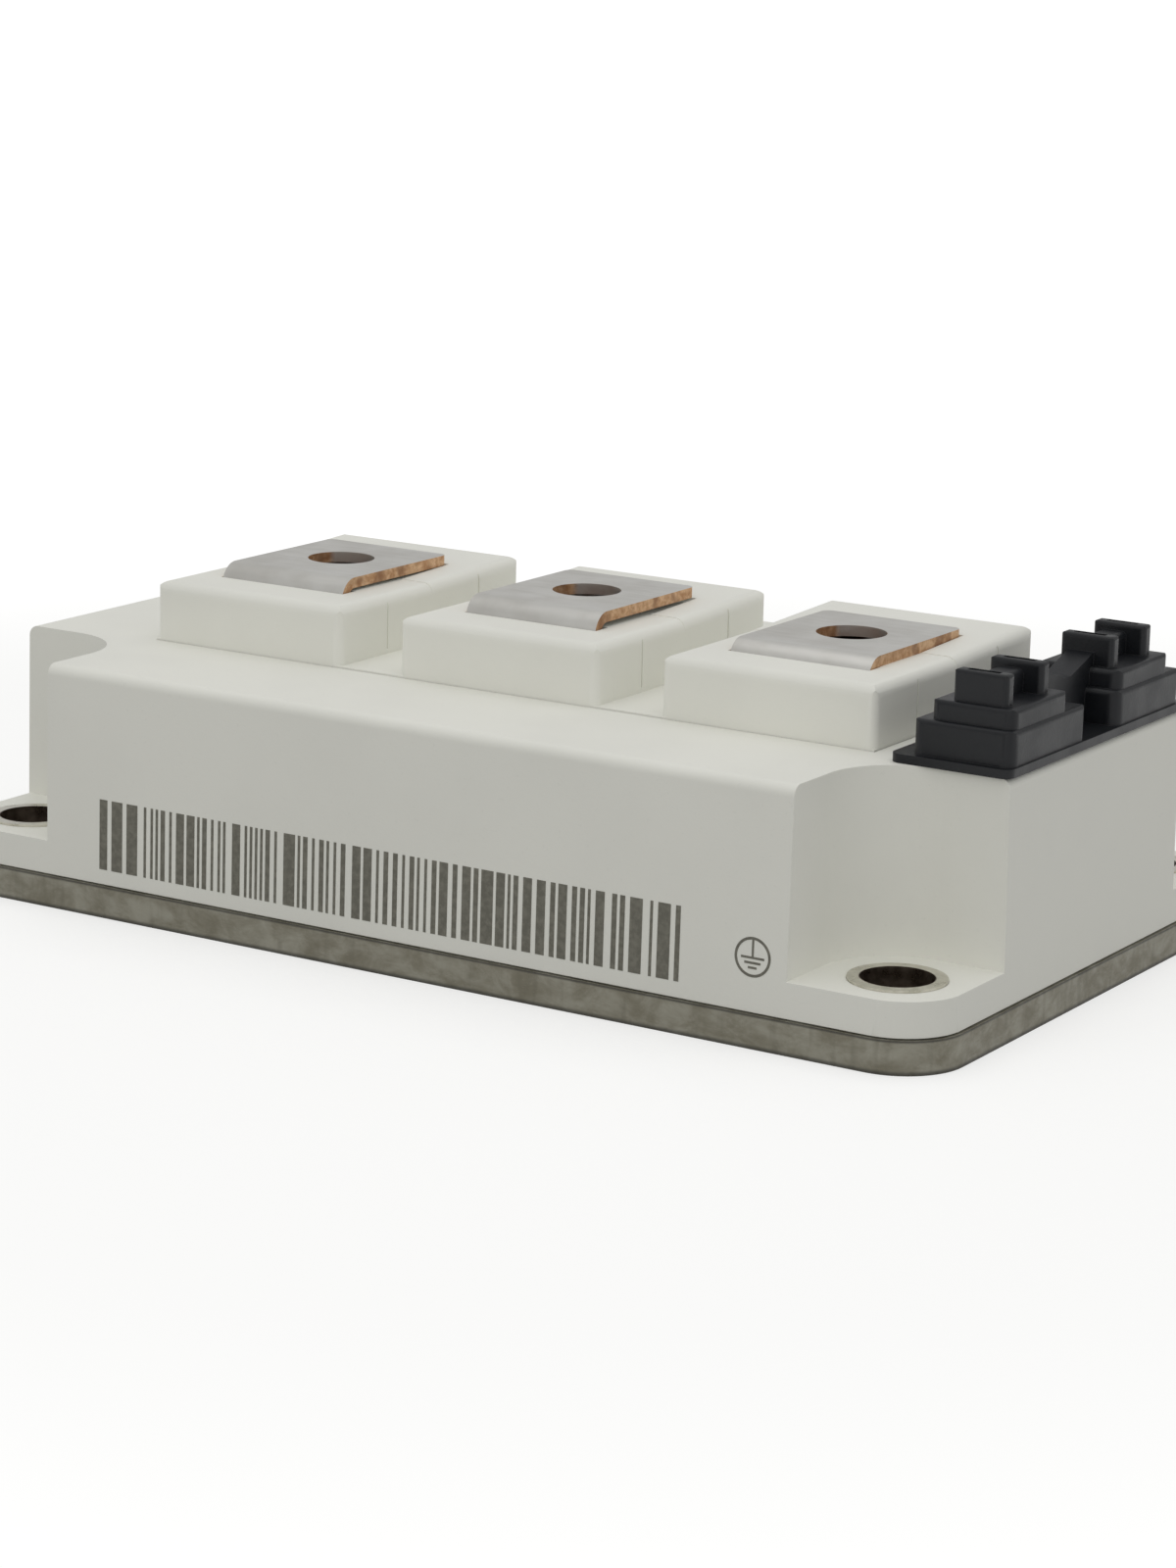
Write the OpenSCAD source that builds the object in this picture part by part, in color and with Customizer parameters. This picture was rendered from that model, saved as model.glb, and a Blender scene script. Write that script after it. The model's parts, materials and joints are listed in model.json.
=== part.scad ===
// Half-bridge power module in the flat 62 mm housing.
// Millimetres. Origin at the centre of the base plate underside, X along the length,
// the control terminals at the +X end, Z up.

/* [Base plate] */
// overall length of the base plate
plate_length = 106.4; // [105:0.2:130]
// overall width of the base plate
plate_width = 61.4; // [60:0.2:76]
// thickness of the base plate
plate_thickness = 3; // [2:0.5:5]
// plan radius of the four plate corners
plate_corner_radius = 6; // [3:0.5:6.5]
// distance of each fixing hole from the plate edges
hole_edge_distance = 6.7; // [6.7:0.1:7.4]
// diameter of the four fixing holes
hole_diameter = 6.4; // [5.4:0.1:7]

/* [Housing] */
// step back of the housing from the plate edge
housing_inset = 0.2; // [0.1:0.05:0.4]
// height of the housing roof above the plate
housing_height = 20; // [18:0.5:26]
// height of the corner ledge above the plate
ledge_height = 3.3; // [3:0.1:6]
// wall thickness of the housing
wall_thickness = 2; // [1.6:0.1:2.4]
// wall thickness round the corner scallops
scallop_wall = 2; // [1.6:0.1:2]
// thickness of the housing roof
roof_thickness = 2; // [1.6:0.1:2.6]
// radius of the scallop around each fixing hole
scallop_radius = 7; // [6.5:0.1:7.6]
// lean of the outer walls
draft_angle = 1; // [0.5:0.1:1.5]
// rounding of the upper outer edges
housing_edge_radius = 1; // [0.6:0.1:1.4]
// thickness of the adhesive under the housing
adhesive_thickness = 0.15; // [0.1:0.05:0.3]
// outer diameter of the steel bushes in the ledges
bush_diameter = 8.6; // [8.2:0.1:9.4]
// height of each bush above the plate
bush_height = 3.5; // [3.4:0.1:6]

/* [Lid and terminal blocks] */
// spacing of the main terminals
terminal_pitch = 28; // [26:0.5:28]
// width of each terminal block along X
block_width = 21.4; // [18:0.2:22]
// length of each terminal block along Y
block_length = 30; // [28:0.5:32]
// height of the block tops above the housing roof
block_height = 5.7; // [5.7:0.1:8]
// rise of the block top towards its back edge
block_rise = 0.6; // [0.4:0.1:1]
// rounding of the block edges
block_edge_radius = 1.1; // [0.6:0.1:1.4]
// step of the lid above the housing roof
lid_step = 0.15; // [0.1:0.05:0.4]
// gap around the lid in the roof
lid_clearance = 0.1; // [0.05:0.05:0.2]

/* [Main terminals] */
// width of the terminal strip
strip_width = 14; // [12:0.5:15]
// thickness of the terminal strip
strip_thickness = 1; // [0.8:0.1:1.2]
// inside radius of the strip bends
strip_bend_radius = 1; // [0.8:0.1:1.4]
// Y position of the front face of the upright leg
strip_front_y = -9.6; // [-10.4:0.1:-9.4]
// Y position of the free end of the strip
strip_end_y = 7.9; // [7:0.1:9]
// diameter of the screw hole in the strip
strip_hole_diameter = 6.4; // [6.2:0.1:7]
// lift of the first, second and third strip above the block
strip_lift = [0.3, 0.5, 0]; // [0:0.1:0.6]
// width of the upright leg inside the housing
leg_width = 9; // [7:0.5:11]
// across-flats size of the terminal nuts
nut_flats = 10; // [9.6:0.1:10.6]
// height of the terminal nuts
nut_height = 5; // [4.2:0.1:5.2]
// bore diameter of the terminal nuts
nut_bore_diameter = 5.2; // [4.8:0.1:5.4]
// gap between a nut and its pocket
nut_clearance = 0.1; // [0.05:0.05:0.2]

/* [Control terminals] */
// Y position of the front face of the first tower
tower_front_y = -16.8; // [-17:0.1:-16.4]
// spacing of the two towers along Y
tower_pitch = 20.4; // [20:0.1:21]
// length of the foot of the first tower along Y
tower_length = 14.3; // [13.6:0.1:15]
// width of each tower along X
tower_width = 9.5; // [9:0.1:9.8]
// length of the second step of a tower along Y
step_length = 10.4; // [10:0.1:11]
// thickness of the flange under the towers
flange_thickness = 0.8; // [0.6:0.1:1.2]
// height of the first tower step above the flange
first_step_height = 3.1; // [2.6:0.1:3.6]
// height of the second tower step above the first
second_step_height = 1.7; // [1.2:0.1:2.2]
// height of the lobes above the second step
lobe_height = 2.7; // [2.4:0.1:3.4]
// size of each lobe along X
lobe_width = 5.1; // [4.8:0.1:5.4]
// thickness of each lobe along Y
lobe_length = 1.5; // [1.4:0.1:1.8]
// spacing of the two lobes of a tower
lobe_pitch = 6.6; // [6:0.1:7]
// width of a control tab
tab_width = 2.8; // [2.2:0.1:3]
// thickness of a control tab
tab_thickness = 0.5; // [0.4:0.1:0.8]
// gap between a tab and the slot wall round it
socket_gap = 0.1; // [0.05:0.05:0.15]

/* [Power circuit] */
// size of one ceramic substrate along X
substrate_length = 24; // [23.6:0.1:24]
// size of one ceramic substrate along Y
substrate_width = 48; // [44:0.5:50]
// spacing of the three substrates
substrate_pitch = 24.6; // [24.6:0.1:25]
// thickness of the ceramic
ceramic_thickness = 0.6; // [0.4:0.1:1]
// thickness of each copper layer on the ceramic
copper_thickness = 0.3; // [0.2:0.05:0.4]
// edge length of a transistor chip
transistor_size = 9; // [8:0.5:9.5]
// edge length of a diode chip
diode_size = 8; // [6:0.5:9]
// thickness of the chips
chip_thickness = 0.3; // [0.2:0.05:0.4]
// diameter of the bond wires
wire_diameter = 0.4; // [0.3:0.05:0.5]
// height of the gel surface above the plate
gel_height = 11; // [8:0.5:12]

/* [Hidden] */
$fn = 64;
far = 60;
px = plate_length / 2;
py = plate_width / 2;
hx = px - hole_edge_distance;
hy = py - hole_edge_distance;
foot_z = plate_thickness + adhesive_thickness;
ledge_z = plate_thickness + ledge_height;
roof_z = plate_thickness + housing_height;
ceiling_z = roof_z - roof_thickness;
fx = px - housing_inset;
fy = py - housing_inset;
foot_radius = plate_corner_radius - housing_inset;
// lid and blocks
lid_length = 2 * terminal_pitch + block_width;
seat_width = 1.2;
seat_depth = 1.4;
block_z = roof_z + block_height;
rise_start_y = -2;
rise_angle = atan(block_rise / (block_length / 2 - rise_start_y));
block_corner_radius = 0.8;
nut_z = block_z - 0.3 - nut_height;
core_y = nut_flats / 2 + 1.6;
neck_z = block_z - 2.6;
// power circuit
circuit_z = plate_thickness + 2 * copper_thickness + ceramic_thickness;
foot_length = 5.4;
substrate_margin = 0.8;
pad_gap = 0.6;
pad_x = substrate_length / 2 - substrate_margin;
pad_inner = pad_x - 1.4;
pad_end = substrate_width / 2 - substrate_margin;
chip_x = transistor_size / 2 + 0.3;
transistor_y = transistor_size / 2 - 1.4;
diode_y = transistor_y + transistor_size / 2 + 3 + diode_size / 2;
emitter_end = -3;
// control terminals
tower_x = px - 0.6 - tower_width / 2;
step_width = tower_width - 1.6;
step_x = px - 0.9 - step_width / 2;
step_inset = 0.7;
lobe_x = px - 2 - lobe_width / 2;
lobe_inset = 1.4;
web_x = lobe_x - 0.5;
web_thickness = 2.5;
flange_length = tower_width + 1.9;
// the towers keep between the two scallops of their end
front_y = max(tower_front_y, 0.2 + scallop_radius - hy);
flange_half = -front_y + 0.7;
flange_x = px - 0.4 - flange_length / 2;
flange_z = roof_z + flange_thickness;
step1_z = flange_z + first_step_height;
step2_z = step1_z + second_step_height;
lobe_z = step2_z + lobe_height;
tower_ys = [front_y, front_y + tower_pitch];
back_length = -front_y - tower_ys[1];
lobe_y = front_y + lobe_inset + lobe_length / 2;
lobe_ys = [lobe_y, lobe_y + lobe_pitch, lobe_y + tower_pitch, lobe_y + tower_pitch + lobe_pitch];
tab_offset = 0.1;
tab_ys = [for (y = lobe_ys) y + tab_offset];
tab_top_z = lobe_z - 0.3;
tab_base_z = step2_z - 1;
leg_narrow = 1.6;
sleeve_x = 2.6;
sleeve_y = 1.1;
// control board
board_start = substrate_pitch + substrate_length / 2 + 0.8;
board_end = fx - wall_thickness - 0.4;
board_width = 2 * (hy - scallop_radius - scallop_wall) - 0.3;
pad_length = 3.6;
pad_z = plate_thickness + ceramic_thickness + copper_thickness;
gel_void_z = circuit_z + chip_thickness + 4;

// ---------- shared shapes ----------

module rounded_rect(x, y, r) {
    square([x - 2 * r, y], center = true);
    square([x, y - 2 * r], center = true);
    for (i = [-1, 1], j = [-1, 1])
        translate([i * (x / 2 - r), j * (y / 2 - r)]) circle(r);
}

module slab(x, y, z0, z1) {
    translate([-x / 2, -y / 2, z0]) cube([x, y, z1 - z0]);
}

// side view of a block: flat foot, leaning sides, rounded upper corners
module crowned_profile(half, z0, z1, r, lean) {
    inward = (z1 - z0) * tan(lean);
    cx = half - inward - r * (1 - sin(lean)) / cos(lean);
    polygon([[-half, z0], [half, z0],
        [cx + r * cos(lean), z1 - r + r * sin(lean)], [cx, z1 - r], [cx, z1],
        [-cx, z1], [-cx, z1 - r], [-cx - r * cos(lean), z1 - r + r * sin(lean)]]);
    for (i = [-1, 1]) translate([i * cx, z1 - r]) circle(r);
}

module crowned_along_x(half, z0, z1, r, lean, length) {
    translate([-length / 2, 0, 0]) rotate([90, 0, 90]) linear_extrude(length)
        crowned_profile(half, z0, z1, r, lean);
}

module crowned_along_y(half, z0, z1, r, lean, length) {
    translate([0, length / 2, 0]) rotate([90, 0, 0]) linear_extrude(length)
        crowned_profile(half, z0, z1, r, lean);
}

// block with rounded upright corners and rounded upper edges
module soft_block(x, y, z0, z1, r, corner) {
    intersection() {
        translate([0, 0, z0]) linear_extrude(z1 - z0) rounded_rect(x, y, corner);
        crowned_along_x(y / 2, z0 - 1, z1, r, 0, x + 2);
        crowned_along_y(x / 2, z0 - 1, z1, r, 0, y + 2);
    }
}

// plan of one corner scallop, open to the outside
module scallop(i, j, r) {
    translate([i * hx, j * hy]) circle(r);
    translate([i * (hx - r + far / 2), j * (hy + far / 2)]) square([far, far], center = true);
    translate([i * (hx + far / 2), j * (hy - r + far / 2)]) square([far, far], center = true);
}

module shell_plan(half_x, half_y, r) {
    difference() {
        square([2 * half_x, 2 * half_y], center = true);
        for (i = [-1, 1], j = [-1, 1]) scallop(i, j, r);
    }
}

module cavity_plan(inset = 0) {
    wall = wall_thickness + inset;
    shell_plan(fx - wall, fy - wall, scallop_radius + scallop_wall + inset);
}

// quarter of a flat ring, from the +X axis round to the +Y axis, mirrored by sx and sy
module quarter_ring(r, t, sx, sy) {
    intersection() {
        difference() {
            circle(r + t);
            circle(r);
        }
        translate([sx * (r + t) / 2, sy * (r + t) / 2]) square([r + t, r + t], center = true);
    }
}

// extrudes a drawing of the YZ plane along X, centred
module along_x(width) {
    translate([-width / 2, 0, 0]) rotate([90, 0, 90]) linear_extrude(width) children();
}

module hexagon(flats) {
    circle(d = flats / cos(30), $fn = 6);
}

// ---------- base and housing ----------

module base_plate() color([0.62, 0.61, 0.57]) {
    difference() {
        linear_extrude(plate_thickness) rounded_rect(plate_length, plate_width, plate_corner_radius);
        for (i = [-1, 1], j = [-1, 1])
            translate([i * hx, j * hy, -1]) cylinder(h = plate_thickness + 2, d = hole_diameter);
    }
}

module adhesive() color([0.93, 0.93, 0.9]) {
    difference() {
        translate([0, 0, plate_thickness]) linear_extrude(adhesive_thickness)
            rounded_rect(2 * fx - 0.8, 2 * fy - 0.8, foot_radius);
        translate([0, 0, plate_thickness - 1]) linear_extrude(adhesive_thickness + 2)
            cavity_plan(-0.3);
        for (i = [-1, 1], j = [-1, 1])
            translate([i * hx, j * hy, plate_thickness - 1]) cylinder(h = 4, d = bush_diameter + 0.4);
    }
}

module housing() color([0.93, 0.92, 0.86]) {
    difference() {
        intersection() {
            union() {
                translate([0, 0, foot_z]) linear_extrude(ledge_z - foot_z)
                    rounded_rect(2 * fx, 2 * fy, foot_radius);
                translate([0, 0, foot_z]) linear_extrude(housing_height - adhesive_thickness)
                    shell_plan(fx, fy, scallop_radius);
            }
            crowned_along_x(fy, foot_z - 1, roof_z, housing_edge_radius, draft_angle, plate_length + 2);
            crowned_along_y(fx, foot_z - 1, roof_z, housing_edge_radius, draft_angle, plate_width + 2);
        }
        difference() {
            translate([0, 0, foot_z - 1]) linear_extrude(ceiling_z - foot_z + 1) cavity_plan();
            lid_seat();
        }
        slab(lid_length + 2 * lid_clearance, block_length + 2 * lid_clearance, ceiling_z, roof_z + 1);
        slab(lid_length - 2 * seat_width, block_length - 2 * seat_width, ceiling_z - 1, ceiling_z + 1);
        for (i = [-1, 1], j = [-1, 1])
            translate([i * hx, j * hy, 0]) cylinder(h = ledge_z + 1, d = bush_diameter);
        for (y = tab_ys)
            translate([lobe_x - sleeve_x / 2 - 0.1, y - sleeve_y / 2 - 0.1, ceiling_z - 0.05])
                cube([sleeve_x + 0.2, sleeve_y + 0.2, roof_thickness + 2]);
    }
}

// rim under the roof that carries the lid
module lid_seat() {
    difference() {
        slab(lid_length + 2 * seat_width, block_length + 2 * seat_width,
            ceiling_z - seat_depth, ceiling_z + 1);
        slab(lid_length - 2 * seat_width, block_length - 2 * seat_width,
            ceiling_z - seat_depth - 1, ceiling_z + 2);
    }
}

module mounting_bushes() color([0.78, 0.78, 0.76]) {
    for (i = [-1, 1], j = [-1, 1])
        translate([i * hx, j * hy, plate_thickness]) difference() {
            cylinder(h = bush_height, d = bush_diameter - 0.04);
            translate([0, 0, -1]) cylinder(h = bush_height + 2, d = hole_diameter);
        }
}

// ---------- lid ----------

module lid() color([0.94, 0.93, 0.88]) {
    difference() {
        union() {
            slab(lid_length, block_length, ceiling_z, roof_z + lid_step);
            for (i = [-1, 0, 1]) translate([i * terminal_pitch, 0, 0]) terminal_block();
        }
        for (i = [-1, 0, 1]) translate([i * terminal_pitch, 0, 0]) block_pockets();
    }
}

// block whose top is level in front and rises gently to the back
module terminal_block() {
    r = block_edge_radius;
    soft_block(block_width, block_length, ceiling_z, block_z, r, block_corner_radius);
    intersection() {
        translate([0, 0, ceiling_z]) linear_extrude(far)
            rounded_rect(block_width, block_length, block_corner_radius);
        crowned_along_x(block_length / 2, ceiling_z - 1, block_z + block_rise, r, 0, 2 * far);
        translate([0, rise_start_y, block_z]) rotate([rise_angle, 0, 0])
            crowned_along_y(block_width / 2, -far, 0, r, 0, 2 * far);
        translate([-block_width, 0, ceiling_z]) cube([2 * block_width, block_length, far]);
    }
}

module block_pockets() {
    // nut pocket and room for the screw end
    translate([0, 0, nut_z]) linear_extrude(far) hexagon(nut_flats + 2 * nut_clearance);
    translate([0, 0, ceiling_z + 1.2]) cylinder(h = far, d = nut_bore_diameter + 1.6);
    // slot for the upright leg, wider and deeper to the back under the bend
    translate([-leg_width / 2 - 0.1, strip_front_y - 0.1, ceiling_z - 1])
        cube([leg_width + 0.2, strip_thickness + 0.2, far]);
    translate([-strip_width / 2 - 0.1, strip_front_y - 0.1, neck_z - 0.1])
        cube([strip_width + 0.2, strip_thickness + 0.2, far]);
    translate([-strip_width / 2 - 0.1, strip_front_y, block_z - strip_bend_radius - 0.3])
        cube([strip_width + 0.2, strip_thickness + strip_bend_radius, far]);
    // cores under the block that keep the walls even
    translate([-block_width / 2 + 2, core_y, ceiling_z - 1])
        cube([block_width - 4, block_length / 2 - 2 - core_y, block_height + roof_thickness - 1]);
    translate([-block_width / 2 + 2, -block_length / 2 + 2, ceiling_z - 1])
        cube([block_width - 4, 1.8, block_height + roof_thickness - 1]);
    // level seat under the strip
    translate([-strip_width / 2 - 0.1, strip_front_y, block_z])
        cube([strip_width + 0.2, strip_end_y + 0.1 - strip_front_y, far]);
    // parting groove and joint on both sides
    for (i = [-1, 1]) {
        translate([i * block_width / 2 - 0.1, -7.5, roof_z + 0.6]) cube([0.2, 0.2, far]);
        translate([i * block_width / 2 - 0.15, strip_end_y - 0.15, roof_z + 0.4])
            cube([0.3, 0.25, far]);
    }
}

// ---------- main terminals ----------

// bent strip seen along X: top plate, upper bend, upright leg, lower bend, solder foot
module strip_side(lift) {
    t = strip_thickness;
    r = strip_bend_radius;
    top = block_z + lift + t;
    back = strip_front_y + t;
    translate([back + r, top - t]) square([strip_end_y - back - r, t]);
    translate([back + r, top - t - r]) quarter_ring(r, t, -1, 1);
    translate([strip_front_y, circuit_z + t + r]) square([t, top - circuit_z - 2 * t - 2 * r]);
    translate([strip_front_y - r, circuit_z + t + r]) quarter_ring(r, t, 1, -1);
    translate([strip_front_y - foot_length, circuit_z]) square([foot_length - r, t]);
}

module terminal_strip(lift) {
    difference() {
        intersection() {
            along_x(strip_width) strip_side(lift);
            union() {
                translate([0, (strip_end_y - far) / 2, neck_z]) linear_extrude(far)
                    rounded_rect(strip_width, strip_end_y + far, 0.8);
                slab(leg_width, 2 * far, 0, neck_z + 1);
            }
        }
        translate([0, 0, block_z - 1]) cylinder(h = 6, d = strip_hole_diameter);
    }
}

module terminal_1() color([0.82, 0.81, 0.79]) {
    translate([-terminal_pitch, 0, 0]) terminal_strip(strip_lift[0]);
}

module terminal_2() color([0.82, 0.81, 0.79]) {
    terminal_strip(strip_lift[1]);
}

module terminal_3() color([0.82, 0.81, 0.79]) {
    translate([terminal_pitch, 0, 0]) terminal_strip(strip_lift[2]);
}

module terminal_nuts() color([0.55, 0.38, 0.26]) {
    for (i = [-1, 0, 1]) translate([i * terminal_pitch, 0, nut_z]) difference() {
        linear_extrude(nut_height) hexagon(nut_flats);
        translate([0, 0, -1]) cylinder(h = nut_height + 2, d = nut_bore_diameter);
        translate([0, 0, nut_height - 0.5])
            cylinder(h = 1, d1 = nut_bore_diameter, d2 = nut_bore_diameter + 2);
        translate([0, 0, -0.5])
            cylinder(h = 1, d1 = nut_bore_diameter + 2, d2 = nut_bore_diameter);
    }
}

// ---------- control terminals ----------

module control_carrier() color([0.12, 0.125, 0.14]) {
    difference() {
        union() {
            translate([flange_x, 0, roof_z]) linear_extrude(flange_thickness)
                rounded_rect(flange_length, 2 * flange_half, 1);
            translate([0, tower_ys[0], 0]) tower(tower_length);
            translate([0, tower_ys[1], 0]) tower(back_length);
            link_web();
            for (y = tab_ys)
                translate([lobe_x - sleeve_x / 2, y - sleeve_y / 2, ceiling_z])
                    cube([sleeve_x, sleeve_y, roof_thickness + 0.5]);
        }
        for (y = tab_ys) translate([lobe_x, y, 0]) tab_socket();
    }
}

// one tower with its front face at y = 0
module tower(length) {
    translate([tower_x, length / 2, 0])
        soft_block(tower_width, length, roof_z + 0.3, step1_z, 0.5, 1.1);
    translate([step_x, step_inset + step_length / 2, 0])
        soft_block(step_width, step_length, step1_z - 1, step2_z, 0.5, 1);
    translate([0, lobe_inset + lobe_length / 2, 0]) {
        for (i = [0, 1]) translate([lobe_x, i * lobe_pitch, 0]) lobe();
        // web that ties the two lobes
        translate([web_x, lobe_pitch / 2, 0])
            crowned_along_y(web_thickness / 2, step2_z - 1, lobe_z - 0.7, 0.5, 0, lobe_pitch);
    }
}

module lobe() {
    intersection() {
        translate([0, 0, step2_z - 1]) linear_extrude(lobe_height + 1)
            rounded_rect(lobe_width, lobe_length, 0.5);
        crowned_along_x(lobe_length / 2, step2_z - 2, lobe_z, 0.4, 0, lobe_width + 2);
        crowned_along_y(lobe_width / 2, step2_z - 2, lobe_z, 0.4, 0, lobe_length + 2);
    }
}

// web between the towers, dipping in the middle
module link_web() {
    y0 = lobe_ys[1];
    y1 = lobe_ys[2];
    translate([web_x, 0, 0]) along_x(web_thickness)
        polygon([[y0, roof_z + 0.3], [y1, roof_z + 0.3], [y1, lobe_z - 1.5], [y1 - 0.75, lobe_z - 1.5],
            [0.6, step2_z - 0.2], [-0.6, step2_z - 0.2], [y0 + 0.75, lobe_z - 0.8], [y0, lobe_z - 0.8]]);
}

module tab_socket() {
    slot_x = tab_width + 2 * socket_gap;
    slot_y = tab_thickness + 2 * socket_gap;
    translate([-slot_x / 2, -slot_y / 2, tab_base_z]) cube([slot_x, slot_y, far]);
    translate([-leg_narrow / 2 - 0.1, -tab_thickness / 2 - 0.1, 0])
        cube([leg_narrow + 0.2, tab_thickness + 0.2, far]);
}

// tab, narrow leg and solder foot of one control terminal
module control_tab(y, way) {
    t = tab_thickness;
    foot = 2.4;
    translate([lobe_x - tab_width / 2, y - t / 2, tab_base_z])
        cube([tab_width, t, tab_top_z - tab_base_z - 0.6]);
    translate([lobe_x, y, 0]) rotate([90, 0, 0]) translate([0, 0, -t / 2]) linear_extrude(t)
        polygon([[-tab_width / 2, tab_top_z - 0.7], [tab_width / 2, tab_top_z - 0.7],
            [tab_width / 2 - 0.5, tab_top_z], [-tab_width / 2 + 0.5, tab_top_z]]);
    translate([lobe_x - leg_narrow / 2, y - t / 2, pad_z + 2 * t])
        cube([leg_narrow, t, tab_base_z - pad_z - 2 * t + 0.1]);
    translate([lobe_x, y - way * t / 2, 0]) along_x(leg_narrow) {
        translate([way * 2 * t, pad_z + 2 * t]) quarter_ring(t, t, -way, -1);
        translate([way * 2 * t + way * foot / 2, pad_z + t / 2]) square([foot, t], center = true);
    }
}

module gate_tab_high() color([0.8, 0.8, 0.78]) { control_tab(tab_ys[0], 1); }
module emitter_tab_high() color([0.8, 0.8, 0.78]) { control_tab(tab_ys[1], 1); }
module emitter_tab_low() color([0.8, 0.8, 0.78]) { control_tab(tab_ys[2], -1); }
module gate_tab_low() color([0.8, 0.8, 0.78]) { control_tab(tab_ys[3], -1); }

// ---------- power circuit ----------

module at_substrates() {
    for (i = [-1, 0, 1]) translate([i * substrate_pitch, 0, 0]) children();
}

module at_chips(y) {
    at_substrates() for (i = [-1, 1]) translate([i * chip_x, y, 0]) children();
}

module patch(x0, x1, y0, y1) {
    translate([x0, y0]) square([x1 - x0, y1 - y0]);
}

module substrate_back_copper() color([0.72, 0.45, 0.3]) {
    at_substrates() slab(substrate_length - 2 * substrate_margin, substrate_width - 2 * substrate_margin,
        plate_thickness, plate_thickness + copper_thickness);
}

module substrate_ceramics() color([0.9, 0.89, 0.84]) {
    at_substrates() slab(substrate_length, substrate_width,
        plate_thickness + copper_thickness, circuit_z - copper_thickness);
}

module substrate_tracks() color([0.72, 0.45, 0.3]) {
    at_substrates() translate([0, 0, circuit_z - copper_thickness]) linear_extrude(copper_thickness) {
        patch(-pad_x, pad_x, -pad_end, strip_front_y - foot_length - 0.8 - pad_gap);
        patch(-pad_x, pad_inner, strip_front_y - foot_length - 0.8, emitter_end);
        patch(-pad_x, pad_inner, emitter_end + pad_gap, pad_end);
        patch(pad_inner + 0.4, pad_x, strip_front_y - foot_length - 0.8, emitter_end);
        patch(pad_inner + 0.4, pad_x, emitter_end + pad_gap, pad_end);
    }
}

module transistor_chips() color([0.35, 0.36, 0.4]) {
    at_chips(transistor_y) slab(transistor_size, transistor_size, circuit_z, circuit_z + chip_thickness);
}

module diode_chips() color([0.42, 0.4, 0.42]) {
    at_chips(diode_y) slab(diode_size, diode_size, circuit_z, circuit_z + chip_thickness);
}

// wire from y0 on one pad to y1 on another, both ends at height z
module bond_wire(y0, y1, z) {
    translate([0, (y0 + y1) / 2, z]) rotate([90, 0, 90]) rotate_extrude(angle = 180)
        translate([(y1 - y0) / 2, 0]) circle(d = wire_diameter, $fn = 6);
}

module bond_wires() color([0.85, 0.85, 0.85]) {
    chip_z = circuit_z + chip_thickness;
    edge_y = transistor_y - transistor_size / 2;
    for (k = [-2, 2]) at_chips(0) translate([k, 0, 0]) {
        bond_wire(emitter_end - 1, edge_y + 1.4, chip_z);
        translate([0, emitter_end - 1, circuit_z]) cylinder(h = chip_thickness, d = wire_diameter, $fn = 6);
        bond_wire(transistor_y + transistor_size / 2 - 1, diode_y - diode_size / 2 + 1, chip_z);
    }
    for (y = tab_ys)
        translate([board_start - 0.9, y - sign(y) * pad_length / 2, circuit_z]) rotate([0, 0, -90]) {
            bond_wire(-1.2, 2, 0);
            translate([0, 2, pad_z - circuit_z])
                cylinder(h = circuit_z - pad_z, d = wire_diameter, $fn = 6);
        }
}

module control_board() color([0.9, 0.89, 0.84]) {
    translate([(board_start + board_end) / 2, 0, 0])
        slab(board_end - board_start, board_width, plate_thickness, pad_z - copper_thickness);
}

module control_pads() color([0.72, 0.45, 0.3]) {
    for (y = tab_ys)
        translate([(board_start + board_end) / 2, y - sign(y) * (pad_length - tab_thickness) / 2, 0])
            slab(board_end - board_start - 0.8, pad_length, pad_z - copper_thickness, pad_z);
}

module gel() color([0.8, 0.85, 0.9, 0.5]) {
    difference() {
        translate([0, 0, plate_thickness]) linear_extrude(gel_height) cavity_plan(0.02);
        slab(2 * substrate_pitch + substrate_length + 0.6, substrate_width + 0.6, 0, gel_void_z);
        translate([board_start - 3, -board_width / 2 - 0.2, 0])
            cube([board_end - board_start + 3.2, board_width + 0.4, gel_void_z]);
        for (i = [-1, 0, 1])
            translate([i * terminal_pitch - leg_width / 2 - 0.05, strip_front_y - 0.05, 0])
                cube([leg_width + 0.1, strip_thickness + 0.1, far]);
        for (y = tab_ys)
            translate([lobe_x - leg_narrow / 2 - 0.05, y - tab_thickness / 2 - 0.05, 0])
                cube([leg_narrow + 0.1, tab_thickness + 0.1, far]);
    }
}

base_plate();
adhesive();
housing();
mounting_bushes();
lid();
terminal_1();
terminal_2();
terminal_3();
terminal_nuts();
control_carrier();
gate_tab_high();
emitter_tab_high();
emitter_tab_low();
gate_tab_low();
substrate_ceramics();
substrate_back_copper();
substrate_tracks();
transistor_chips();
diode_chips();
bond_wires();
control_board();
control_pads();
gel();
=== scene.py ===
"""Looks of the power module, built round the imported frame. Metres, X length, Y width, Z up."""
import json
import math
import random

import bpy
from mathutils import Matrix, Vector


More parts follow.
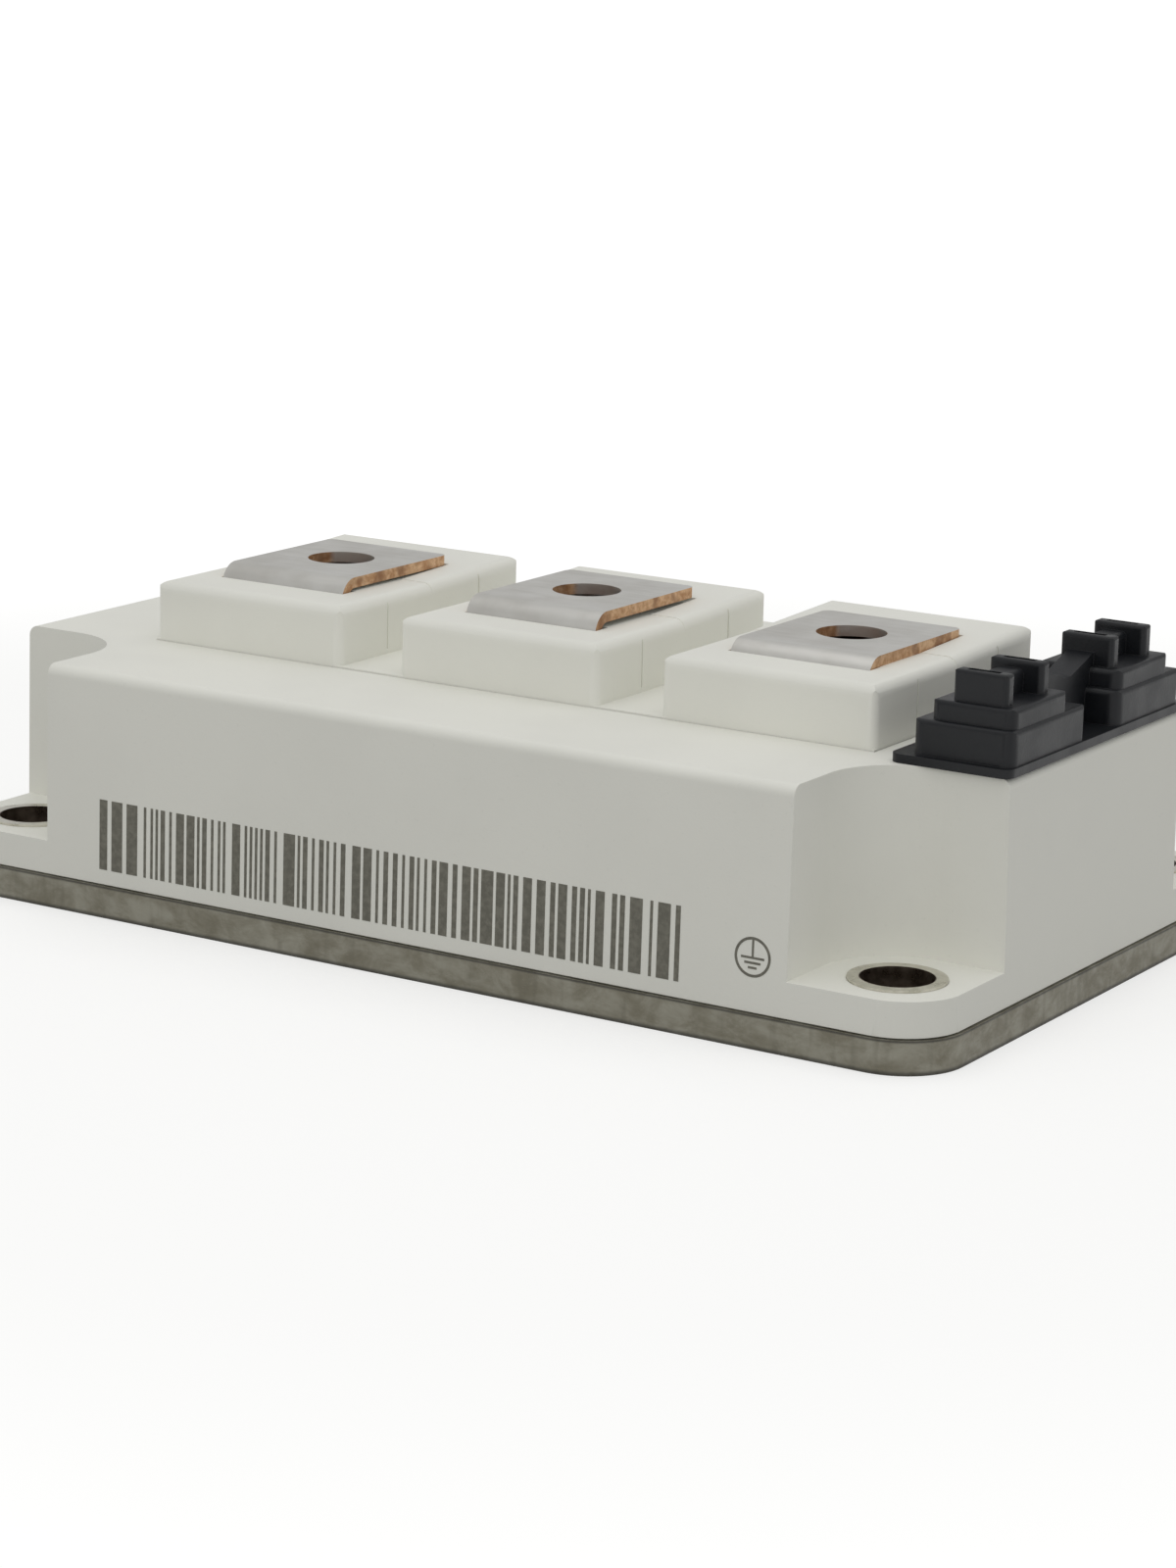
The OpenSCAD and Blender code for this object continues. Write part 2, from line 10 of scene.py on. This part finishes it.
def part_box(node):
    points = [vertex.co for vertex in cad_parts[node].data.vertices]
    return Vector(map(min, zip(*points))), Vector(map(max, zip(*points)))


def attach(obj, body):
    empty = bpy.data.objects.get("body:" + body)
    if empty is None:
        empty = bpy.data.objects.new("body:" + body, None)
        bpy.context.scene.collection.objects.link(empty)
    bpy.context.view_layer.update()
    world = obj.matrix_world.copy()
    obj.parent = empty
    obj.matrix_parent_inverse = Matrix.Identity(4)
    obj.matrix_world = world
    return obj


MM = 0.001
AZIMUTH, ELEVATION, ROLL = 32.06, 13.41, 1.28   # camera, degrees, azimuth from -Y towards +X
TARGET, DISTANCE = (6.86, -10.0, 14.58), 370.94  # camera's aim and its distance from it, millimetres
HOLE_X, HOLE_Y = 0.0465, 0.024                  # fixing holes from the middle, metres
TERMINAL_XS = (-28.0, 0.0, 28.0)                # main terminals, millimetres
WALL_LEAN = 1.0                                 # draft of the housing's walls, degrees
INK_LIFT, INK_DEPTH = 0.02, 0.05                # print stands proud of the wall and reaches into it
BARS_X, BARS_Z = (-33.3, 29.1), (4.55, 11.15)   # printed strip, millimetres
SIGN_X, SIGN_Z = 36.2, 7.9                      # middle of the earth sign, millimetres

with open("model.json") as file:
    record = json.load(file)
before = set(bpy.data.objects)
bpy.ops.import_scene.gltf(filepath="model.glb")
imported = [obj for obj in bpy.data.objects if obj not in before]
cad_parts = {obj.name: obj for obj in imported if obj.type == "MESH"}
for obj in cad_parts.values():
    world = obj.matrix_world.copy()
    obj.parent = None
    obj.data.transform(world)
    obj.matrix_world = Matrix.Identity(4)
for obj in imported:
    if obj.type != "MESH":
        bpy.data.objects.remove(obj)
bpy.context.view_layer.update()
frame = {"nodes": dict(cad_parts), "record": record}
nodes = frame["nodes"]


# ---------- camera ----------

def add_camera():
    """Camera at the photograph's viewing angle."""
    az, el, roll = (math.radians(a) for a in (AZIMUTH, ELEVATION, ROLL))
    target = Vector(TARGET) * MM
    away = Vector((math.sin(az) * math.cos(el), -math.cos(az) * math.cos(el), math.sin(el)))
    right = (-away).cross(Vector((0, 0, 1))).normalized()
    up = right.cross(-away)
    right, up = (math.cos(roll) * right + math.sin(roll) * up,
                 -math.sin(roll) * right + math.cos(roll) * up)
    data = bpy.data.cameras.new("camera")
    data.sensor_width = 36.0
    data.lens = 93.84
    data.clip_start = 0.01
    data.clip_end = 50.0
    cam = bpy.data.objects.new("camera", data)
    bpy.context.scene.collection.objects.link(cam)
    rot = Matrix((right, up, away)).transposed().to_4x4()
    cam.matrix_world = Matrix.Translation(target + away * DISTANCE * MM) @ rot
    bpy.context.scene.camera = cam


# ---------- material helpers ----------

class Mat:
    """Small wrapper round a node tree."""

    def __init__(self, name):
        self.m = bpy.data.materials.new(name)
        self.m.use_nodes = True
        self.t = self.m.node_tree
        self.t.nodes.clear()
        self.out = self.node("ShaderNodeOutputMaterial")
        self.b = self.node("ShaderNodeBsdfPrincipled")
        self.link(self.b.outputs["BSDF"], self.out.inputs["Surface"])
        self._co = None

    def node(self, kind, **settings):
        n = self.t.nodes.new(kind)
        for k, v in settings.items():
            setattr(n, k, v)
        return n

    def link(self, a, b):
        self.t.links.new(a, b)

    def put(self, socket, value):
        if isinstance(value, bpy.types.NodeSocket):
            self.link(value, socket)
        elif isinstance(value, (tuple, list)) and len(value) == 3 and socket.type == "RGBA":
            socket.default_value = (*value, 1.0)
        else:
            socket.default_value = value

    def set(self, **values):
        for k, v in values.items():
            self.put(self.b.inputs[k.replace("_", " ")], v)

    def co(self):
        if self._co is None:
            self._co = self.node("ShaderNodeTexCoord").outputs["Object"]
        return self._co

    def xyz(self, vector):
        s = self.node("ShaderNodeSeparateXYZ")
        self.link(vector, s.inputs[0])
        return s.outputs

    def scaled(self, sx, sy, sz):
        n = self.node("ShaderNodeMapping")
        n.inputs["Scale"].default_value = (sx, sy, sz)
        self.link(self.co(), n.inputs["Vector"])
        return n.outputs[0]

    def noise(self, scale, detail=2.0, rough=0.5, vector=None, distortion=0.0):
        n = self.node("ShaderNodeTexNoise")
        self.link(vector if vector is not None else self.co(), n.inputs["Vector"])
        n.inputs["Scale"].default_value = scale
        n.inputs["Detail"].default_value = detail
        n.inputs["Roughness"].default_value = rough
        n.inputs["Distortion"].default_value = distortion
        return n.outputs["Fac"]

    def math(self, op, a, b=0.0, clamp=False):
        n = self.node("ShaderNodeMath", operation=op, use_clamp=clamp)
        self.put(n.inputs[0], a)
        self.put(n.inputs[1], b)
        return n.outputs[0]

    def ramp(self, fac, lo, hi, a=0.0, b=1.0):
        n = self.node("ShaderNodeMapRange", interpolation_type="SMOOTHSTEP")
        self.put(n.inputs["Value"], fac)
        n.inputs["From Min"].default_value = lo
        n.inputs["From Max"].default_value = hi
        n.inputs["To Min"].default_value = a
        n.inputs["To Max"].default_value = b
        return n.outputs[0]

    def mix(self, fac, a, b, mode="MIX"):
        n = self.node("ShaderNodeMix", data_type="RGBA", blend_type=mode)
        self.put(n.inputs[0], fac)
        self.put(n.inputs[6], a)
        self.put(n.inputs[7], b)
        return n.outputs[2]

    def bump(self, height, distance, strength=1.0, normal=None):
        n = self.node("ShaderNodeBump")
        n.inputs["Strength"].default_value = strength
        n.inputs["Distance"].default_value = distance
        self.link(height, n.inputs["Height"])
        if normal is not None:
            self.link(normal, n.inputs["Normal"])
        return n.outputs[0]

    def normal(self):
        return self.node("ShaderNodeNewGeometry").outputs["Normal"]


def ivory_plastic(name, tint=(0.862, 0.860, 0.795)):
    m = Mat(name)
    cloud = m.noise(60.0, 3.0, 0.55)
    speck = m.noise(2400.0, 2.0, 0.6)
    dark = tuple(c * 0.972 for c in tint)
    base = m.mix(m.ramp(cloud, 0.35, 0.65), dark, tint)
    base = m.mix(m.ramp(speck, 0.64, 0.76, 0.0, 0.22), base, tuple(c * 0.86 for c in tint))
    grain = m.bump(m.noise(3800.0, 2.0, 0.6), 0.00002, 0.5)
    swell = m.bump(m.noise(140.0, 1.0, 0.5), 0.00006, 0.25, grain)
    m.set(Base_Color=base, Roughness=m.ramp(cloud, 0.3, 0.7, 0.50, 0.62), Normal=swell)
    m.set(Specular_IOR_Level=0.3)
    return m.m


def plated_base():
    """Side of the base plate: warm grey, blotched, with painted shade as a dark line in the gap under
    the housing and along the rounded bottom edge.
    """
    m = Mat("nickel_plate")
    z = m.xyz(m.co())["Z"]
    blotch = m.noise(260.0, 4.0, 0.65, m.scaled(1.0, 1.0, 1.6), 0.4)
    fine = m.noise(1500.0, 3.0, 0.7, m.scaled(1.0, 1.0, 3.0))
    streak = m.noise(900.0, 2.0, 0.6, m.scaled(1.0, 1.0, 0.15))
    base = m.mix(m.ramp(blotch, 0.32, 0.68), (0.205, 0.190, 0.142), (0.330, 0.318, 0.262))
    base = m.mix(m.ramp(fine, 0.55, 0.8, 0.0, 0.5), base, (0.42, 0.40, 0.33))
    base = m.mix(m.ramp(streak, 0.5, 0.75, 0.0, 0.35), base, (0.15, 0.14, 0.105))
    # painted shade: side faces darken near the bottom edge and, as painted shadow, just under the
    # housing's rim
    bottom_edge_shade = m.ramp(z, 0.00012, 0.0005, 1.0, 0.0)
    gap_shadow = m.ramp(z, 0.00272, 0.00292, 0.0, 1.0)
    edge_shade = m.math("MAXIMUM", bottom_edge_shade, gap_shadow)
    side = m.ramp(m.math("ABSOLUTE", m.xyz(m.normal())[2]), 0.3, 0.6, 1.0, 0.0)
    base = m.mix(m.math("MULTIPLY", edge_shade, m.math("MULTIPLY", side, 0.75)), base, (0.03, 0.03, 0.028))
    m.set(Base_Color=base, Metallic=0.35, Roughness=m.ramp(fine, 0.3, 0.7, 0.42, 0.62),
          Normal=m.bump(m.math("ADD", blotch, m.math("MULTIPLY", fine, 0.5)), 0.00006, 0.5),
          Specular_IOR_Level=0.35)
    return m.m


def plated_strip():
    """Silver plating on top, bare copper on the stamped edges and in the hole."""
    m = Mat("plated_strip")
    z = m.xyz(m.co())["Z"]
    facing = m.xyz(m.normal())
    soft = m.noise(220.0, 3.0, 0.55)
    rolled = m.noise(900.0, 2.0, 0.6, m.scaled(0.15, 1.0, 1.0))
    silver = m.mix(m.ramp(soft, 0.3, 0.7), (0.600, 0.585, 0.545), (0.690, 0.680, 0.645))
    silver = m.mix(m.ramp(rolled, 0.5, 0.8, 0.0, 0.25), silver, (0.54, 0.53, 0.50))
    grit = m.noise(1300.0, 3.0, 0.7)
    copper = m.mix(m.ramp(grit, 0.3, 0.7), (0.46, 0.24, 0.11), (0.74, 0.50, 0.30))
    copper = m.mix(m.ramp(m.noise(420.0, 2.0), 0.52, 0.68, 0.0, 0.7), copper, (0.26, 0.12, 0.055))
    side = m.math("MAXIMUM", m.ramp(m.math("ABSOLUTE", facing["X"]), 0.70, 0.86),
                  m.ramp(facing["Y"], 0.55, 0.75))
    high = m.ramp(z, 0.0268, 0.0274)
    cut = m.math("MULTIPLY", side, high)
    m.set(Base_Color=m.mix(cut, silver, copper), Metallic=m.ramp(cut, 0.0, 1.0, 0.85, 0.55),
          Roughness=m.math("ADD", m.ramp(rolled, 0.3, 0.7, 0.30, 0.42), m.math("MULTIPLY", cut, 0.12)),
          Normal=m.bump(m.math("ADD", soft, m.math("MULTIPLY", grit, 0.25)), 0.00004, 0.35))
    return m.m


def black_plastic():
    m = Mat("black_plastic")
    n = m.noise(300.0, 3.0, 0.6)
    grain = m.noise(3200.0, 2.0, 0.6)
    m.set(Base_Color=m.mix(m.ramp(n, 0.3, 0.7), (0.0075, 0.0085, 0.0105), (0.0115, 0.0125, 0.0150)),
          Roughness=m.ramp(n, 0.3, 0.7, 0.36, 0.46), Specular_IOR_Level=0.32,
          Normal=m.bump(m.math("ADD", grain, n), 0.00002, 0.5))
    return m.m


def turned_steel():
    """Fine rings round each hole's axis, and painted shade darkening the bore."""
    m = Mat("bush_steel")
    place = m.xyz(m.co())
    ax = m.math("SUBTRACT", m.math("ABSOLUTE", place["X"]), HOLE_X)
    ay = m.math("SUBTRACT", m.math("ABSOLUTE", place["Y"]), HOLE_Y)
    r = m.math("SQRT", m.math("ADD", m.math("MULTIPLY", ax, ax), m.math("MULTIPLY", ay, ay)))
    rings = m.math("SINE", m.math("MULTIPLY", r, 42000.0))
    n = m.noise(700.0, 3.0, 0.6)
    # painted shade: inside the bore radius the steel is coloured dark brown instead of its own colour
    bore = m.ramp(r, 0.00322, 0.00330, 1.0, 0.0)
    top = m.mix(m.ramp(n, 0.3, 0.7), (0.56, 0.54, 0.46), (0.74, 0.72, 0.64))
    bore_shade = m.mix(m.ramp(n, 0.3, 0.7), (0.10, 0.075, 0.055), (0.20, 0.16, 0.13))
    m.set(Base_Color=m.mix(bore, top, bore_shade), Metallic=0.85, Roughness=m.ramp(n, 0.3, 0.7, 0.26, 0.38),
          Normal=m.bump(m.math("ADD", rings, n), 0.000006, 0.5))
    return m.m


def simple(name, colour, dark, rough, metallic, scale=300.0, bump=0.00001):
    m = Mat(name)
    n = m.noise(scale, 3.0, 0.6)
    fine = m.noise(scale * 6, 2.0)
    base = m.mix(m.ramp(n, 0.3, 0.7), dark, colour)
    base = m.mix(m.ramp(fine, 0.6, 0.8, 0.0, 0.4), base, tuple(c * 0.8 for c in dark))
    m.set(Base_Color=base, Roughness=m.ramp(n, 0.3, 0.7, rough - 0.05, rough + 0.05),
          Metallic=metallic, Normal=m.bump(fine, bump, 0.6))
    return m.m


def print_ink():
    m = Mat("print_grey")
    n = m.noise(1800.0, 3.0, 0.6)
    m.set(Base_Color=m.mix(m.ramp(n, 0.35, 0.7), (0.150, 0.145, 0.118), (0.215, 0.208, 0.172)),
          Roughness=m.ramp(n, 0.3, 0.7, 0.55, 0.65), Normal=m.bump(n, 0.00001, 0.4),
          Specular_IOR_Level=0.3)
    return m.m


# ---------- pieces ----------

def add_mesh(name, verts, faces, material, smooth=False):
    me = bpy.data.meshes.new(name)
    me.from_pydata([tuple(c * MM for c in v) for v in verts], [], faces)
    me.validate()
    me.materials.append(material)
    if smooth:
        for p in me.polygons:
            p.use_smooth = True
    ob = bpy.data.objects.new(name, me)
    bpy.context.scene.collection.objects.link(ob)
    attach(ob, "root")
    return ob


def wall_y(z):
    """Y of the housing's front face at height z, both in millimetres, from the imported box."""
    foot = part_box("housing")[0]
    return foot[1] / MM + (z - foot[2] / MM) * math.tan(math.radians(WALL_LEAN))


def bar(verts, faces, x0, x1, z0, z1):
    """Thin printed bar on the leaning front face."""
    k = len(verts)
    for shift in (-INK_LIFT, INK_DEPTH):
        for z in (z0, z1):
            for x in (x0, x1):
                verts.append((x, wall_y(z) + shift, z))
    faces += [(k, k + 1, k + 3, k + 2), (k + 4, k + 6, k + 7, k + 5), (k, k + 4, k + 5, k + 1),
              (k + 2, k + 3, k + 7, k + 6), (k, k + 2, k + 6, k + 4), (k + 1, k + 5, k + 7, k + 3)]


def add_bars(ink):
    """Row of made-up vertical bars, as wide and high as the printed strip of the real object."""
    rng = random.Random(5)
    verts, faces = [], []
    x, end = BARS_X
    while x < end - 0.3:
        w = rng.choice((0.28, 0.28, 0.5, 0.5, 0.9, 1.25))
        w = min(w, end - x)
        bar(verts, faces, x, x + w, *BARS_Z)
        x += w + rng.choice((0.3, 0.3, 0.5, 0.5, 0.75))
    add_mesh("printed_bars", verts, faces, ink)


def ring(verts, faces, cx, cz, r0, r1, n=48):
    """Thin printed ring on the leaning front face."""
    k = len(verts)
    for i in range(n):
        a = 2 * math.pi * i / n
        for r in (r0, r1):
            x, z = cx + r * math.cos(a), cz + r * math.sin(a)
            verts.append((x, wall_y(z) - INK_LIFT, z))
            verts.append((x, wall_y(z) + INK_DEPTH, z))
    for i in range(n):
        a, b = k + 4 * i, k + 4 * ((i + 1) % n)
        faces += [(a, b, b + 2, a + 2), (a + 1, a + 3, b + 3, b + 1),
                  (a + 2, b + 2, b + 3, a + 3), (a, a + 1, b + 1, b)]


def add_earth_sign(ink):
    """The general sign for protective earth: a ring, a stem and three bars."""
    verts, faces = [], []
    cx, cz = SIGN_X, SIGN_Z
    ring(verts, faces, cx, cz, 1.5, 1.74)
    bar(verts, faces, cx - 0.1, cx + 0.1, cz, cz + 1.5)
    bar(verts, faces, cx - 1.12, cx + 1.12, cz - 0.16, cz + 0.04)
    bar(verts, faces, cx - 0.78, cx + 0.78, cz - 0.6, cz - 0.4)
    bar(verts, faces, cx - 0.42, cx + 0.42, cz - 1.02, cz - 0.82)
    add_mesh("earth_sign", verts, faces, ink)


def add_threads(material):
    """Helical thread ridge in the bore of each nut."""
    lo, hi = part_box("terminal_nuts")
    z0, z1 = lo[2] / MM + 0.45, hi[2] / MM - 0.45
    pitch, per, run_in = 1.0, 40, 10.0
    root, depth = 2.64, 0.36
    for i, x in enumerate(TERMINAL_XS):
        verts, faces = [], []
        steps = int((z1 - z0 - 0.8) / pitch * per)
        for s in range(steps + 1):
            a = 2 * math.pi * s / per
            z = z0 + 0.4 + pitch * s / per
            crest = root - depth * min(1.0, s / run_in, (steps - s) / run_in)
            for r, dz in ((root, -0.38), (crest, -0.07), (crest, 0.07), (root, 0.38)):
                verts.append((x + r * math.cos(a), r * math.sin(a), z + dz * 0.98))
        for s in range(steps):
            k = 4 * s
            for j in range(4):
                j2 = (j + 1) % 4
                faces.append((k + j, k + j2, k + 4 + j2, k + 4 + j))
        faces += [(3, 2, 1, 0), tuple(4 * steps + j for j in range(4))]
        add_mesh("thread_%d" % (i + 1), verts, faces, material, True)


def soften(node, width, angle=38.0, segments=3):
    """Small rounding on the sharp edges of a CAD node."""
    ob = nodes[node]
    weld = ob.modifiers.new("weld", "WELD")
    weld.merge_threshold = 2e-6
    flat = ob.modifiers.new("flat", "DECIMATE")
    flat.decimate_type = "DISSOLVE"
    flat.angle_limit = math.radians(0.4)
    bev = ob.modifiers.new("bevel", "BEVEL")
    bev.width = width * MM
    bev.segments = segments
    bev.limit_method = "ANGLE"
    bev.angle_limit = math.radians(angle)
    bev.harden_normals = False
    bev.use_clamp_overlap = True
    shade = ob.modifiers.new("normals", "WEIGHTED_NORMAL")
    shade.mode = "FACE_AREA"
    shade.keep_sharp = True


def dress(node, material):
    """Give a CAD node its material and leave its mesh as it is."""
    me = nodes[node].data
    me.materials.clear()
    me.materials.append(material)


# ---------- floor and light ----------

def add_floor():
    """Pale floor: keeps the soft shadow near the object and is plain white farther off."""
    m = Mat("floor_white")
    n = m.noise(3.0, 2.0)
    m.set(Base_Color=m.mix(n, (0.50, 0.50, 0.49), (0.52, 0.52, 0.51)), Roughness=0.9,
          Specular_IOR_Level=0.0)
    lp = m.node("ShaderNodeLightPath")
    seen = m.math("MAXIMUM", m.math("MAXIMUM", lp.outputs["Is Camera Ray"], lp.outputs["Is Glossy Ray"]),
                  lp.outputs["Is Transmission Ray"])
    place = m.xyz(m.co())
    x2 = m.math("MULTIPLY", place["X"], place["X"])
    y2 = m.math("MULTIPLY", place["Y"], place["Y"])
    far = m.ramp(m.math("SQRT", m.math("ADD", x2, y2)), 0.10, 0.35)
    glow = m.node("ShaderNodeEmission")
    glow.inputs["Color"].default_value = (1, 1, 1, 1)
    strength = m.math("ADD", 0.56, m.math("MULTIPLY", far, 0.5))
    m.put(glow.inputs["Strength"], m.math("MULTIPLY", seen, strength))
    add = m.node("ShaderNodeAddShader")
    m.link(m.b.outputs["BSDF"], add.inputs[0])
    m.link(glow.outputs[0], add.inputs[1])
    m.link(add.outputs[0], m.out.inputs["Surface"])
    me = bpy.data.meshes.new("floor")
    half = 6.0
    me.from_pydata([(-half, -half, 0), (half, -half, 0), (half, half, 0), (-half, half, 0)],
                   [], [(0, 1, 2, 3)])
    ob = bpy.data.objects.new("floor", me)
    bpy.context.scene.collection.objects.link(ob)
    ob.data.materials.append(m.m)


def add_lamp(name, size, energy, pos, aim, colour=(1, 1, 1)):
    """Rectangular lamp at pos, turned to aim."""
    data = bpy.data.lights.new(name, "AREA")
    data.shape = "RECTANGLE"
    data.size, data.size_y = size
    data.energy = energy
    data.color = colour
    ob = bpy.data.objects.new(name, data)
    bpy.context.scene.collection.objects.link(ob)
    d = Vector(aim) - Vector(pos)
    ob.matrix_world = Matrix.Translation(Vector(pos)) @ d.to_track_quat("-Z", "Y").to_matrix().to_4x4()


def add_light():
    """White world, brighter to the camera and through glass than on the object, and two lamps."""
    world = bpy.data.worlds.new("studio")
    bpy.context.scene.world = world
    world.use_nodes = True
    t = world.node_tree
    t.nodes.clear()
    out = t.nodes.new("ShaderNodeOutputWorld")
    bg = t.nodes.new("ShaderNodeBackground")
    lp = t.nodes.new("ShaderNodeLightPath")
    mx = t.nodes.new("ShaderNodeMath")
    mx.operation = "MAXIMUM"
    t.links.new(lp.outputs["Is Camera Ray"], mx.inputs[0])
    t.links.new(lp.outputs["Is Transmission Ray"], mx.inputs[1])
    rng = t.nodes.new("ShaderNodeMapRange")
    t.links.new(mx.outputs[0], rng.inputs["Value"])
    rng.inputs["To Min"].default_value = 0.56
    rng.inputs["To Max"].default_value = 1.05
    bg.inputs["Color"].default_value = (1, 1, 1, 1)
    t.links.new(rng.outputs[0], bg.inputs["Strength"])
    t.links.new(bg.outputs[0], out.inputs[0])
    add_lamp("top_softbox", (0.7, 0.6), 0.9, (0.02, 0.0, 0.62), (0, 0, 0.01))
    add_lamp("front_softbox", (0.6, 0.35), 0.30, (0.14, -0.55, 0.40), (0, 0, 0.01), (1.0, 0.99, 0.95))


# ---------- build ----------

add_camera()
add_light()
add_floor()

ivory = ivory_plastic("ivory_plastic")
copper = simple("copper", (0.62, 0.33, 0.20), (0.5, 0.26, 0.15), 0.35, 1.0)
nut = simple("nut_metal", (0.22, 0.085, 0.045), (0.10, 0.035, 0.02), 0.38, 0.7, 500.0, 0.00003)
seal = simple("sealant", (0.80, 0.80, 0.77), (0.72, 0.72, 0.68), 0.5, 0.0)
ceramic = simple("ceramic", (0.80, 0.79, 0.74), (0.74, 0.73, 0.68), 0.6, 0.0)
silicon = simple("silicon", (0.25, 0.26, 0.30), (0.18, 0.19, 0.23), 0.2, 0.5)
gel = simple("silicone_gel", (0.70, 0.73, 0.75), (0.62, 0.65, 0.68), 0.2, 0.0)
wire = simple("aluminium_wire", (0.8, 0.8, 0.8), (0.7, 0.7, 0.7), 0.35, 1.0)
tab = simple("plated_tab", (0.62, 0.61, 0.58), (0.52, 0.51, 0.48), 0.34, 1.0)
by_slot = {"ivory_plastic": ivory, "nickel_plate": plated_base(), "plated_strip": plated_strip(),
           "plated_tab": tab, "black_plastic": black_plastic(), "copper": copper, "nut_metal": nut,
           "bush_steel": turned_steel(), "sealant": seal, "ceramic": ceramic, "silicon": silicon,
           "silicone_gel": gel, "aluminium_wire": wire}
for part in frame["record"]["subparts"]:
    dress(part["node"], by_slot[part["material_slot"]])

ink = print_ink()
add_bars(ink)
add_earth_sign(ink)
add_threads(nut)
soften("housing", 0.30)
soften("lid", 0.22)
soften("control_carrier", 0.22)

bpy.context.scene.view_settings.view_transform = "Standard"
